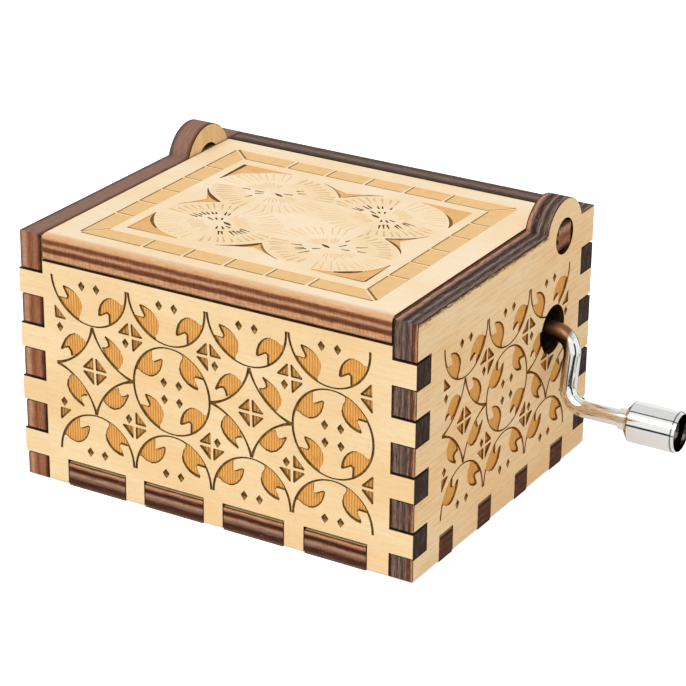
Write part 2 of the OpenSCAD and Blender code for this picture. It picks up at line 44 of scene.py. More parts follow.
# shader sockets that can be calculated with
class Value:
    def __init__(self, finish, socket):
        self.finish, self.socket = finish, socket

    def join(self, operation, other, swapped=False):
        pair = (other, self) if swapped else (self, other)
        return self.finish.node("Math", {"operation": operation}, {0: pair[0], 1: pair[1]})

    def __add__(self, other): return self.join("ADD", other)
    def __radd__(self, other): return self.join("ADD", other)
    def __sub__(self, other): return self.join("SUBTRACT", other)
    def __rsub__(self, other): return self.join("SUBTRACT", other, True)
    def __mul__(self, other): return self.join("MULTIPLY", other)
    def __rmul__(self, other): return self.join("MULTIPLY", other)
    def __truediv__(self, other): return self.join("DIVIDE", other)
    def __pow__(self, other): return self.join("POWER", other)
    def __gt__(self, other): return self.join("GREATER_THAN", other)
    def __lt__(self, other): return self.join("LESS_THAN", other)


class Finish:                                    # a material, or a world, made of shader nodes
    def __init__(self, name, library="materials"):
        self.owner = getattr(bpy.data, library).new(name)
        self.owner.use_nodes = True
        self.tree = self.owner.node_tree
        self.tree.nodes.clear()

    def feed(self, socket, value):
        if isinstance(value, Value):
            self.tree.links.new(value.socket, socket)
        else:
            socket.default_value = value

    def node(self, kind, settings=None, sockets=None, output=0):
        # any node: its settings first, then values or links of its sockets
        made = self.tree.nodes.new("ShaderNode" + kind)
        for key, value in (settings or {}).items():
            if key == "stops":
                stops = made.color_ramp.elements
                stops.remove(stops[1])
                stops[0].position, stops[0].color = value[0]
                for place, colour in value[1:]:
                    stops.new(place).color = colour
            else:
                setattr(made, key, value)
        for key, value in (sockets or {}).items():
            self.feed(made.inputs[key], value)
        return Value(self, made.outputs[output])

    def sheetPlace(self, across=1, up=1):        # millimetres on the sheet, from its own map
        place = self.node("UVMap", {"uv_map": "sheet"})
        return self.node("VectorMath", {"operation": "MULTIPLY"}, {0: place, 1: (across, up, 1)})

    def partPlace(self, x=1, y=1, z=1):          # millimetres in the part's own frame
        place = self.node("TexCoord", output="Object")
        return self.node("VectorMath", {"operation": "MULTIPLY"}, {0: place, 1: (x / mm, y / mm, z / mm)})

    def noise(self, place, scale, detail=2, rough=0.5):
        return self.node("TexNoise", None,
                         {"Vector": place, "Scale": scale, "Detail": detail, "Roughness": rough})

    def spread(self, value, low, high, start=0, end=1):
        return self.node("MapRange", {"clamp": True}, {0: value, 1: low, 2: high, 3: start, 4: end})

    def mix(self, share, a, b, blend="MIX"):
        return self.node("Mix", {"data_type": "RGBA", "blend_type": blend}, {0: share, 6: a, 7: b}, 2)

    def ramp(self, share, stops):
        return self.node("ValToRGB", {"stops": stops}, {0: share})

    def bump(self, height, strength, distance):
        return self.node("Bump", None, {"Height": height, "Strength": strength, "Distance": distance * mm})

    def surface(self, **sockets):
        names = {"colour": "Base Color", "rough": "Roughness", "metal": "Metallic", "normal": "Normal",
                 "shine": "Specular IOR Level"}
        values = {names[key]: value for key, value in sockets.items()}
        return self.show(self.node("BsdfPrincipled", None, values))

    def glow(self, strength):
        return self.node("Emission", None, {"Color": white, "Strength": strength})

    def show(self, shader, kind="Material"):
        end = self.tree.nodes.new("ShaderNodeOutput" + kind)
        self.tree.links.new(shader.socket, end.inputs["Surface"])
        return self.owner


def colour(red, green, blue):                    # 0 to 255 as seen on a screen, to the shader's own scale
    def straight(share):
        share /= 255
        return share / 12.92 if share <= 0.04045 else ((share + 0.055) / 1.055) ** 2.4
    return (straight(red), straight(green), straight(blue), 1)


# faces of the sheets: tones of the wood, shares of its grain and flecks, and browning near one edge
veneer = {"pale": (246, 218, 172), "base": (240, 205, 152), "warm": (229, 187, 128), "grain": 0.45,
          "fleck": 0.34, "fleckDepth": 0.8, "bump": 0.12, "singe": None}
# the side and bottom sheets are the same wood as the front: their copies are warmer, painting the orange cast
# of the shade on the side faces
veneerSide = dict(veneer, pale=(253, 223, 176), base=(250, 209, 152), warm=(232, 178, 112))
rightSinge = {"from": 37.35, "to": 37.75, "tone": (84, 56, 42), "ends": (11.8, 10.6), "fray": 2.1}
veneerRight = dict(veneerSide, warm=(228, 172, 110), grain=0.55, singe=rightSinge)
lidSinge = {"from": -24.6, "to": -26.1, "tone": (206, 150, 98), "ends": None, "fray": 1.2}
veneerLid = dict(veneer, pale=(253, 231, 198), base=(249, 221, 178), warm=(243, 207, 156), grain=0.3,
                 fleck=0.16, singe=lidSinge)
veneerInside = dict(veneer, pale=(244, 212, 160), base=(236, 196, 138), warm=(222, 176, 116), grain=0.55)


def veneerFinish(name, look, along=(0.09, 1)):
    f = Finish(name)
    streak = f.noise(f.sheetPlace(*along), 2.1, 4, 0.6)
    cloud = f.noise(f.sheetPlace(along[0] * 2, along[1] * 0.5), 0.22, 3, 0.55)
    pores = f.noise(f.sheetPlace(along[0] * 4, along[1] * 3), 2.6, 2, 0.6)
    ground = f.mix(f.spread(cloud, 0.38, 0.62), colour(*look["base"]), colour(*look["pale"]))
    ground = f.mix(f.spread(streak, 0.45, 0.75) * look["grain"], ground, colour(*look["warm"]))
    flecked = colour(*[part * look["fleckDepth"] for part in look["warm"]])
    ground = f.mix(f.spread(pores, 0.58, 0.74) * look["fleck"], ground, flecked)
    singe = look["singe"]
    if singe:                                    # browned by the beam
        place = f.sheetPlace()
        fray = f.noise(f.sheetPlace(0.3, 2.4), 2, 3, 0.7)
        level = f.node("SeparateXYZ", None, {0: place}, 1) + (fray - 0.5) * singe["fray"]
        share = f.spread(level, singe["from"], singe["to"])
        if singe["ends"]:
            share = share * f.spread(f.node("SeparateXYZ", None, {0: place}), *singe["ends"])
        ground = f.mix(share, ground, colour(*singe["tone"]))
    return f.surface(colour=ground, rough=f.spread(streak, 0.3, 0.7, 0.52, 0.66), shine=0.25,
                     normal=f.bump(streak + pores * 0.5, look["bump"], 0.05))


# burnt carving: the pale and the dark tone of each kind, then the strength and scale of the beam's rows in it
burn = {"leaf": ((234, 174, 94), (188, 116, 40)), "hatch": ((204, 148, 78), (134, 90, 40)),
        "line": ((146, 110, 54), (98, 68, 28)), "trace": ((168, 134, 78), (132, 98, 52)),
        # the lid tabs' two tones, the kind after groove, are painted shade for the tabs inside the ear holes
        "groove": ((150, 104, 62), (106, 68, 36)), "smoked": ((142, 100, 70), (112, 76, 50)),
        # the rim tones are char on the cut arrises, darkened further as painted shade of the thin gaps
        # between parts
        "rim": ((74, 44, 22), (44, 22, 10)), "leafRight": ((240, 178, 92), (202, 132, 54)),
        "hatchRight": ((216, 148, 70), (158, 94, 36)), "lineRight": ((172, 110, 46), (118, 66, 20)),
        "block": ((243, 203, 143), (226, 174, 106)), "fan": ((226, 194, 140), (206, 168, 112)),
        "ray": ((242, 212, 164), (228, 192, 140)), "petal": ((250, 223, 182), (245, 213, 166)),
        "wedge": ((240, 190, 124), (214, 152, 88))}
rows = {"leaf": (0.8, 0.74), "hatch": (0.8, 0.6), "leafRight": (0.8, 0.74), "hatchRight": (0.8, 0.6),
        "block": (0.5, 0.9), "fan": (0.5, 0.9), "ray": (0.5, 0.9), "petal": (0.6, 0.7), "wedge": (0.5, 0.8)}


def rowedFinish(name, light, dark, share, scale):
    f = Finish(name)
    place = f.sheetPlace()
    lines = f.node("TexWave", {"bands_direction": "X"},
                   {"Vector": place, "Scale": scale, "Distortion": 1.2, "Detail": 2, "Detail Scale": 2})
    cloud = f.noise(place, 0.7, 3, 0.6)
    tone = f.mix(f.spread(lines, 0.35, 0.9) * share, colour(*light), colour(*dark))
    tone = f.mix(f.spread(cloud, 0.5, 0.75) * 0.5, tone, colour(*dark))
    return f.surface(colour=tone, rough=0.72, shine=0.2, normal=f.bump(lines, 0.3, 0.08))


def plainFinish(name, light, dark):
    f = Finish(name)
    cloud = f.noise(f.sheetPlace(), 1.1, 3, 0.6)
    tone = f.mix(f.spread(cloud, 0.35, 0.65), colour(*light), colour(*dark))
    return f.surface(colour=tone, rough=0.8, shine=0.1, normal=f.bump(cloud, 0.2, 0.05))


# tones of the cut plies: the beam's browns and chars, while the greys and lilacs paint the sheen on upward
# edges and the near-blacks partly paint the shade in gaps and holes
cutTones = {"black": (18, 10, 8), "darkening": (34, 16, 8), "coal": (48, 34, 28), "char": (64, 28, 12),
            "ash": (62, 48, 40), "umber": (84, 46, 30), "smoke": (88, 68, 58), "burnt": (104, 54, 24),
            "brown": (110, 66, 46), "dusk": (108, 86, 76), "rust": (132, 76, 42), "stone": (130, 106, 92),
            "silver": (142, 128, 122), "clay": (148, 112, 96), "fawn": (158, 104, 72),
            "sand": (190, 142, 112), "straw": (216, 162, 120)}
# plies of each laser-cut edge: millimetres in from the outer face, then the tone there. All the edges are one
# plywood; each has its own copy for the light that falls on it, with painted sheen on upward edges, painted
# shade inside the holes and painted shadow of the gaps at the inner face
plyLayers = {
    "lidFront": ((0.6, "sand"), (0.85, "rust"), (1.2, "rust"), (1.6, "straw"), (1.8, "sand"), (2, "rust"),
                 (2.3, "burnt"), (2.6, "rust"), (2.8, "straw"), (3.45, "straw"), (3.6, "rust"),
                 (3.7, "burnt")),
    "tabsFront": ((0, "dusk"), (0.25, "dusk"), (0.5, "umber"), (1.1, "char"), (1.65, "clay"), (2, "sand"),
                  (2.45, "char"), (2.85, "char"), (3.05, "fawn"), (3.35, "straw"), (3.55, "rust"),
                  (3.7, "umber")),
    "dark": ((0, "ash"), (0.4, "coal"), (1.2, "ash"), (1.8, "coal"), (2.5, "ash"), (3.1, "ash"),
             (3.5, "coal"), (3.7, "darkening")),
    "tabsSide": ((0, "char"), (0.8, "brown"), (1.3, "umber"), (1.9, "brown"), (2.4, "umber"), (3, "brown"),
                 (3.4, "char"), (3.7, "darkening")),
    "rightEnds": ((0, "straw"), (0.5, "brown"), (0.85, "umber"), (1.1, "clay"), (1.35, "smoke"),
                  (1.8, "smoke"), (2.1, "stone"), (2.4, "smoke"), (3.1, "stone"), (3.3, "dusk"),
                  (3.45, "char"), (3.7, "darkening")),
    "rightTop": ((0, "dusk"), (0.3, "stone"), (0.7, "dusk"), (0.95, "ash"), (1.3, "smoke"), (1.55, "silver"),
                 (1.8, "dusk"), (2.05, "ash"), (2.5, "coal"), (2.85, "clay"), (3.15, "sand"), (3.35, "sand"),
                 (3.5, "brown"), (3.7, "char")),
    "leftEnds": ((0, "char"), (0.55, "sand"), (0.9, "sand"), (1.35, "fawn"), (1.7, "rust"), (2.3, "fawn"),
                 (2.9, "fawn"), (3.25, "burnt"), (3.5, "char"), (3.7, "darkening")),
    "leftTop": ((0, "smoke"), (0.45, "dusk"), (0.9, "clay"), (2.9, "clay"), (3.4, "brown"), (3.7, "umber")),
    "backTop": ((0, "dusk"), (0.4, "smoke"), (0.8, "smoke"), (1.8, "stone"), (2.4, "dusk"), (2.75, "smoke"),
                (3, "ash"), (3.7, "coal")),
    "hole": ((0, "char"), (0.9, "darkening"), (2, "black"))}
# how strongly the beam's scars and the fibres show on each cut edge, and their tones; the bright tone along
# the fibres is a painted sheen
scorched = {"lidFront": (0.55, 0.35), "tabsFront": (0.3, 0.4), "rightTop": (0.12, 0.85),
            "rightEnds": (0.15, 0.8), "dark": (0.12, 0.7), "tabsSide": (0.2, 0.55), "backTop": (0.1, 0.55),
            "leftTop": (0.1, 0.3), "leftEnds": (0.18, 0.4), "hole": (0.18, 0.4)}
scorch = {"thick": 3.7, "wobble": 0.3, "scar": (60, 30, 18), "fibre": (44, 24, 16), "bright": (176, 150, 134),
          "brightShare": 0.45, "darkening": (96, 72, 60), "sootShare": 0.25}


def edgeFinish(name, layers):
    f = Finish("ply_" + name)
    apart = f.node("SeparateXYZ", None, {0: f.sheetPlace()}, 1)
    wobble = f.noise(f.sheetPlace(0.35, 0.2), 0.8, 2, 0.5)
    depth = (apart + (wobble - 0.5) * scorch["wobble"]) / scorch["thick"]
    plies = f.ramp(depth, [(at / scorch["thick"], colour(*cutTones[tone])) for at, tone in layers])
    scars = f.noise(f.sheetPlace(2.2, 0.3), 2, 3, 0.65)           # marks of the beam, through the sheet
    fibres = f.noise(f.sheetPlace(0.22, 2.6), 2, 3, 0.7)          # and of the fibres, along it
    smoke = f.noise(f.sheetPlace(0.5, 0.9), 1.1, 3, 0.6)
    scarred, fibrous = scorched[name]
    tone = f.mix(f.spread(scars, 0.46, 0.7) * scarred, plies, colour(*scorch["scar"]))
    tone = f.mix(f.spread(fibres, 0.5, 0.62) * fibrous, tone, colour(*scorch["fibre"]))
    # painted sheen: pale lilac-grey streaks along the fibres
    bright = f.spread(fibres, 0.44, 0.34) * fibrous * scorch["brightShare"]
    tone = f.mix(bright, tone, colour(*scorch["bright"]))
    tone = f.mix(f.spread(smoke, 0.5, 0.8) * scorch["sootShare"], tone, colour(*scorch["darkening"]))
    return f.surface(colour=tone, rough=0.75, shine=0.12, normal=f.bump(scars, 0.35, 0.12))


faceFront = veneerFinish("veneer_front", veneer)
faceSide = veneerFinish("veneer_side", veneerSide)
faceLid = veneerFinish("veneer_lid", veneerLid, (0.12, 1))
faceRight = veneerFinish("veneer_right", veneerRight)
faceInside = veneerFinish("veneer_inside", veneerInside, (1, 0.1))
burnt = {kind: rowedFinish("burnt_" + kind, *tones, *rows[kind]) if kind in rows
         else plainFinish("burnt_" + kind, *tones) for kind, tones in burn.items()}
plies = {name: edgeFinish(name, layers) for name, layers in plyLayers.items()}
print("sheet finishes made")


# flat shapes, in millimetres on a sheet
def arc(cx, cy, radius, start, end, steps):
    return [(cx + radius * cos(radians(start + (end - start) * i / steps)),
             cy + radius * sin(radians(start + (end - start) * i / steps))) for i in range(steps + 1)]


def strip(points, widths):                       # a closed band along a line
    if not isinstance(widths, list):
        widths = [widths] * len(points)
    one, other = [], []
    for i, (x, y) in enumerate(points):
        (ax, ay), (bx, by) = points[max(i - 1, 0)], points[min(i + 1, len(points) - 1)]
        long = hypot(bx - ax, by - ay) or 1
        nx, ny = (ay - by) / long * widths[i] / 2, (bx - ax) / long * widths[i] / 2
        one.append((x + nx, y + ny))
        other.append((x - nx, y - ny))
    return one + other[::-1]


def quarterTurns(points, count):
    for _ in range(count):
        points = [(-y, x) for x, y in points]
    return points


def moved(points, cx, cy, size=1):
    return [(cx + x * size, cy + y * size) for x, y in points]


# trellis of circles, pointed stars, notched leaves and crossed diamonds; its leaves are in half cells
trellisLook = {"line": 0.38, "thin": 0.2, "tip": 0.5, "tipSteps": 3, "starSteps": 14, "ringSteps": 12,
               "starLine": 0.32, "leafLine": 0.36, "leafThin": 0.12, "thinning": 6, "bite": 0.22,
               "diamond": 2.36, "cross": 0.26, "crossEnds": 1.6, "diamondLine": 0.3, "crossLine": 0.14,
               "dotWide": 0.57, "dotHigh": 0.6, "dotApart": 1.25, "dotInset": 0.65, "starDot": 0.86,
               "dot": [(1, -0.1), (0, 1), (-1, -0.1), (-0.6, -0.8), (0, -0.2), (0.6, -0.8)],
               "dotFoot": [(0.6, -0.8), (0, -0.2), (-0.6, -0.8), (0, -1.5)]}
roundLeaf = {"back": [(0.215, 0.687), (0.229, 0.563), (0.282, 0.429), (0.368, 0.325), (0.473, 0.253),
                      (0.588, 0.229), (0.722, 0.258), (0.826, 0.325)],
             "bite": [(0.473, 0.84), (0.482, 0.62), (0.426, 0.582), (0.35, 0.62), (0.282, 0.658)],
             "rim": 0.955, "from": 19.6, "to": 60.6}
starLeaf = {"back": [(0.327, 0.865), (0.452, 0.808), (0.586, 0.731), (0.702, 0.615), (0.76, 0.481),
                     (0.74, 0.346), (0.673, 0.231)],
            "side": [(0.625, 0.192), (0.49, 0.26), (0.375, 0.365), (0.278, 0.5), (0.231, 0.596)],
            "bite": [(0.337, 0.615), (0.414, 0.673), (0.394, 0.769)]}
starArc = {"centre": 1.3482, "radius": 1.3925}   # in half cells, from the star's middle


def trellis(cell, columns, middle, tall=1, lean=lambda height: 0):
    look, half = trellisLook, cell / 2
    lines, leaves, hatches, feet = [], [], [], []
    count = look["thinning"]
    thin = [look["leafLine"] + (look["leafThin"] - look["leafLine"]) * i / (count - 1) for i in range(count)]

    def diamond(cx, cy, corners):
        near, far = look["cross"], look["diamond"] - look["cross"] * look["crossEnds"]
        for corner in corners:
            shape = moved(quarterTurns([(near, near), (far, near), (near, far)], corner), cx, cy)
            hatches.append(shape)
            lines.append(strip(shape[1:], look["diamondLine"]))
            lines.append(strip(shape[:2], look["crossLine"]))
            lines.append(strip([shape[2], shape[0]], look["crossLine"]))

    def dot(cx, cy):                             # a small diamond, paler at its foot
        for shape, group in ((look["dot"], lines), (look["dotFoot"], feet)):
            group.append([(cx + x * look["dotWide"], cy + y * look["dotHigh"]) for x, y in shape])

    def star(cx, cy):
        first = degrees(atan2(1 - starArc["centre"], -starArc["centre"])) + 360
        steps, away = look["starSteps"], look["starDot"] * half
        side = arc(starArc["centre"], starArc["centre"], starArc["radius"], first, 450 - first, steps)
        inside = [min(1, min(i, steps - i) / look["tipSteps"]) for i in range(steps + 1)]
        widths = [(look["tip"] + (look["starLine"] - look["tip"]) * share) / half for share in inside]
        leaf = starLeaf["back"] + starLeaf["side"] + starLeaf["bite"]
        back = strip(starLeaf["back"][:count], [width / half for width in thin])
        bite = strip(starLeaf["side"][-1:] + starLeaf["bite"] + starLeaf["back"][:1], look["bite"] / half)
        for turn, (sx, sy) in enumerate(((1, 1), (-1, 1), (-1, -1), (1, -1))):
            for shape, group in ((strip(side, widths), lines), (leaf, leaves), (back, lines), (bite, lines)):
                group.append(moved(quarterTurns(shape, turn), cx, cy, half))
            dot(cx + away * sx, cy + away * sy)
        diamond(cx, cy, range(4))

    def ring(cx, cy, quarters):
        steps = look["ringSteps"]
        rim = arc(0, 0, roundLeaf["rim"], roundLeaf["from"], roundLeaf["to"], 5)
        shapes = [roundLeaf["back"] + rim + roundLeaf["bite"],
                  strip(roundLeaf["back"][:count], [width / half for width in thin]),
                  strip(roundLeaf["bite"] + roundLeaf["back"][:1], look["bite"] / half)]
        for quarter in quarters:
            widths = [look["thin"] + (look["line"] - look["thin"]) * abs(cos(pi / 2 * (quarter + i / steps)))
                      for i in range(steps + 1)]  # the beam's sweep leaves level lines thinner
            turns = 90 * quarter, 90 * quarter + 90
            lines.append(strip(arc(cx, cy, half - look["line"] / 2, *turns, steps), widths))
            for shape, group in zip(shapes, (leaves, lines, lines)):
                flipped = [(x, -y) for x, y in quarterTurns(shape, 3 - quarter)]
                group.append(moved(flipped, cx, cy, half))

    for i in range(columns):
        cx = (i - (columns - 1) / 2) * cell
        if i % 2:
            ring(cx, middle, range(4))
            for x in (-1, 1):
                for y in (-1, 1):
                    dot(cx + x * look["dotApart"], middle + y * look["dotApart"])
        else:
            star(cx, middle)
        for row, quarters in ((1, (2, 3)), (-1, (0, 1))):
            ring(cx, middle + row * cell, quarters)
            for x in (-1, 1):
                dot(cx + x * look["dotApart"], middle + row * (cell - look["dotInset"]))
    for i in range(columns + 1):                 # a dot of the star stands in for one quarter of each
        for z, toward in ((middle - half, (0, 1)), (middle + half, (3, 2))):
            corners = {0, 1, 2, 3}
            if i == 0:
                corners -= {1, 2}
            elif i % 2:
                corners -= {toward[1]}
            if i == columns:
                corners -= {0, 3}
            elif i % 2 == 0:
                corners -= {toward[0]}
            diamond((i - columns / 2) * cell, z, corners)
    groups = {"line": lines, "leaf": leaves, "hatch": hatches, "trace": feet}
    return {key: [[(x + lean(y), middle + (y - middle) * tall) for x, y in shape] for shape in shapes]
            for key, shapes in groups.items()}


# lid pattern: a border of blocks around four ellipses, whose quarters have strong and faint rays in turn
lidLook = {"middle": (-0.35, -2.1), "outer": (23.9, 20.35), "inner": (20.85, 17.45), "gap": 0.5,
           "across": (-13.3, -6.65, 0, 6.65, 13.3), "up": (-11.5, -5.8, 0, 5.8, 11.6), "field": (19.2, 15.3),
           "hub": (9.15, 7.2), "ellipse": (10.1, 8.05), "lineThin": 0.12, "lineThick": 0.42, "slant": 1.5,
           "blot": (8.1, 6.85), "blotLine": [(-0.8, 0.35), (0, 0), (0.8, -0.3)], "petal": (0.45, 0.95),
           "pointEnd": 66, "pointSteps": 8,
           "strengths": {(-1, -1): 1, (1, 1): 1, (1, -1): 0.55, (-1, 1): 0.25}}
# rays run from one share of the ellipse to another, each fixed or drawn between two, then two widths
lidRays = {"count": 10, "first": 5, "span": 80, "stray": 1.2, "faintStray": 1.5, "grooved": 0.85,
           "fan": ((0.62, 0.7), (0.84, 0.93), 0.12, 0.34), "line": (0.15, (0.24, 0.3), 0.2, 0.34),
           "groove": ((0.36, 0.42), (0.5, 0.58), 0.34, 0.14),
           "faint": ((0.24, (0.4, 0.5), 0.1, 0.24), ((0.56, 0.66), 0.94, 0.1, 0.24))}
lidWidths = {"longCurve": [0.12, 0.3, 0.46, 0.54, 0.5, 0.4, 0.28, 0.14],
             "shortCurve": [0.1, 0.3, 0.44, 0.3, 0.1], "upright": [0.5, 0.2], "level": [0.5, 0.16],
             "blot": [0.15, 0.62, 0.3],
             "pointGroove": [0.2, 0.42, 0.52, 0.56, 0.52, 0.42, 0.3, 0.2, 0.1],
             "pointTrace": [0.2, 0.3, 0.34, 0.32, 0.28, 0.24, 0.2, 0.16, 0.12]}


def lidPattern():
    look, broad, rays = lidLook, lidWidths, lidRays
    mx, my = look["middle"]
    (ox, oy), (ix, iy), (fx, fy) = look["outer"], look["inner"], look["field"]
    (hx, hy), (a, b) = look["hub"], look["ellipse"]
    chance, faint = random.Random(7), random.Random(3)
    found = {kind: [] for kind in ("line", "groove", "trace", "wedge", "block", "fan", "ray", "petal")}
    for turn in range(4):                        # border, one side at a time
        flat = turn % 2 == 0
        (long, deep), (short, near) = ((ox, oy), (ix, iy)) if flat else ((oy, ox), (iy, ix))
        cuts = look["across"] if flat else look["up"]
        cuts = cuts if turn in (0, 1) else [-c for c in cuts[::-1]]
        marks = [((-long, -deep), (-short, -near))] + [((c, -deep), (c, -near)) for c in cuts]
        marks.append(((long, -deep), (short, -near)))
        for (p, s), (q, r) in zip(marks, marks[1:]):
            gap = look["gap"] / 2
            block = moved(quarterTurns(insetLoop([p, q, r, s], [0, gap, 0, gap]), turn), mx, my)
            found["block"].append(block)
            for one, other in zip(block, block[1:] + block[:1]):
                run = other[0] - one[0]
                if run > -look["slant"]:         # the upper sides stay bare
                    wide = look["lineThick" if run > look["slant"] else "lineThin"]
                    found["trace"].append(strip([one, other], wide))

    def onEllipse(reach, turn):                  # turn in degrees, reach as a share of the ellipse
        return (mx + sx * hx + reach * a * cos(radians(turn)), my + sy * hy + reach * b * sin(radians(turn)))

    def stroke(kind, ray, dice, turn):
        near, far, *widths = [dice.uniform(*part) if isinstance(part, tuple) else part for part in ray]
        found[kind].append(strip([onEllipse(near, turn), onEllipse(far, turn)], widths))

    for (sx, sy), strength in look["strengths"].items():
        curve = [(mx + sx * (hx + a * cos(radians(t))), my + sy * (hy + b * sin(radians(t))))
                 for t in range(8, 83, 6)]
        corner = (mx + sx * fx, my + sy * fy)
        low, wide = (corner[0], curve[0][1]), (curve[-1][0], corner[1])
        found["wedge"].append([corner, low] + curve + [wide])
        if sx == sy:
            found["groove"].append(strip(curve[:8], broad["longCurve"]))
        else:
            found["groove"].append(strip([corner, low], broad["upright"]))
            found["groove"].append(strip(curve[5:10], broad["shortCurve"]))
        if sy < 0:
            found["trace"].append(strip([corner, wide], broad["level"]))
        blot = moved(look["blotLine"], mx + sx * look["blot"][0], my + sy * look["blot"][1])
        found["line"].append(strip(blot, broad["blot"]))

        first = 90 if sx == sy else 0
        for start in (first, first + 180):       # two quarters across from each other
            near, far = look["petal"]
            rim = [onEllipse(far, start + 6 + k * 6) for k in range(14)]
            found["petal"].append([onEllipse(near, start + t) for t in (84, 45, 6)] + rim)
            turns = [start + rays["first"] + rays["span"] * (k + 0.5) / rays["count"]
                     for k in range(rays["count"])]
            for k, turn in enumerate(turns):
                turn += chance.uniform(-rays["stray"], rays["stray"])
                stroke("fan", rays["fan"], chance, turn)
                if k % 3 == 1 and chance.random() < strength:
                    stroke("line", rays["line"], chance, turn)
                if chance.random() < strength * rays["grooved"]:
                    stroke("groove", rays["groove"], chance, turn)
            for turn in turns:                   # fainter rays in the quarter that follows
                turn = turn + 90 + faint.uniform(-rays["faintStray"], rays["faintStray"])
                for ray in rays["faint"]:
                    stroke("ray", ray, faint, turn)
    for turn in range(4):                        # pointed pieces where two ellipses meet
        e, d, he, hd = (a, b, hx, hy) if turn % 2 == 0 else (b, a, hy, hx)
        meet, steps = degrees(acos(he / e)), look["pointSteps"]
        turns = [meet + (look["pointEnd"] - meet) * i / steps for i in range(steps + 1)]
        side = [(-he + e * cos(radians(t)), -hd - d * sin(radians(t))) for t in turns]
        other = [(-x, y) for x, y in side]
        waist = (0, side[0][1] * 0.5 + side[-1][1] * 0.5)
        found["wedge"].append(moved(quarterTurns(side + [waist] + other[:0:-1], turn), mx, my))
        for kind, edge in (("groove", strip(side, broad["pointGroove"])),
                           ("trace", strip(other, broad["pointTrace"]))):
            found[kind].append(moved(quarterTurns(edge, turn), mx, my))
    return found


# a laser-cut sheet with its burnt carving as real recesses
def insetLoop(points, distances):                # moves each side of a loop inwards by its own distance
    count = len(points)
    sides = []
    for i in range(count):
        (ax, ay), (bx, by) = points[i], points[(i + 1) % count]
        long = hypot(bx - ax, by - ay)
        nx, ny = (ay - by) / long, (bx - ax) / long
        sides.append((ax + nx * distances[i], ay + ny * distances[i], (bx - ax) / long, (by - ay) / long))
    made = []
    for i in range(count):
        px, py, dx, dy = sides[i - 1]
        qx, qy, ex, ey = sides[i]
        turn = dx * ey - dy * ex
        if abs(turn) < 1e-6:
            made.append((qx, qy))
        else:
            t = ((qx - px) * ey - (qy - py) * ex) / turn
            made.append((px + dx * t, py + dy * t))
    return made


recess = {"line": 0.3, "hatch": 0.24, "groove": 0.2, "trace": 0.08, "leaf": 0.2, "wedge": 0.12, "block": 0.09,
          "fan": 0.06, "ray": 0.04, "petal": 0.02, "smoked": 0}
arris = 0.08                                     # rounding that sanding leaves on a cut edge
bareRim = -25.2                                  # in front of this, a rim keeps the tone of its face


def skin(loops, rings, carving):
    # cuts one face of a sheet, with its loops' rims bevelled, into triangles: (points, their depths, kind)
    points, faces, kinds, ringDepth = [], [], [], {}

    def put(shape, kind):
        turn = sum(p[0] * q[1] - q[0] * p[1] for p, q in zip(shape, shape[1:] + shape[:1]))
        order = list(range(len(points), len(points) + len(shape)))
        faces.append(order if turn > 0 else order[::-1])
        kinds.append(kind)
        points.extend(Vector(p) for p in shape)

    for number, loop in enumerate(loops):
        for step, (shape, depths) in enumerate(rings[number]):
            for offset, depth in enumerate(depths):
                ringDepth[len(points) + offset] = depth
            last = step == len(rings[number]) - 1
            put(shape, ("sheet" if step == 0 else "flat" if last else "rim") if number == 0
                else ("hole" if step == 0 else "holeRim"))
    for kind, shapes in carving.items():
        for shape in shapes:
            put(shape, kind)
    found, _, triangles, fromPoints, _, fromFaces = geometry.delaunay_2d_cdt(points, [], faces, 1, 1e-4)
    made = []
    for triangle, origins in zip(triangles, fromFaces):
        owned = {kinds[i] for i in origins}
        if "sheet" not in owned or "hole" in owned:
            continue
        rim = "flat" not in owned or "holeRim" in owned
        kind = "rim" if rim else next((k for k in recess if k in owned), "face")
        depths = []
        for corner in triangle:
            ring = [ringDepth[i] for i in fromPoints[corner] if i in ringDepth]
            if rim and not ring:                 # carving crosses the rim here
                near = min(ringDepth, key=lambda i: (points[i] - found[corner]).length)
                ring = [ringDepth[near]]
            depths.append(ring[0] if rim else recess.get(kind, 0))
        made.append(([tuple(found[i]) for i in triangle], depths, kind))
    return made


def rimRings(loop, bevel, hole=False):
    # loops from the sheet's edge inwards, each with its points' depths
    count = len(loop)
    steps = 6 if any(size > arris for size in bevel) else 1
    rings = []
    for step in range(steps + 1):
        turn = pi / 2 * step / steps
        share = (1 - cos(turn)) if steps > 1 else step
        drop = (1 - sin(turn)) if steps > 1 else 1 - step
        sides = [size * share * (-1 if hole else 1) for size in bevel]
        depths = [max(bevel[i - 1], bevel[i]) * drop for i in range(count)]
        rings.append((insetLoop(loop, sides), depths))
    return rings


def holeLoop(cx, cy, radius, count=64):          # runs the other way round
    turns = [2 * pi * i / count for i in range(count)]
    return [(cx + radius * cos(turn), cy + radius * sin(turn)) for turn in turns[::-1]]


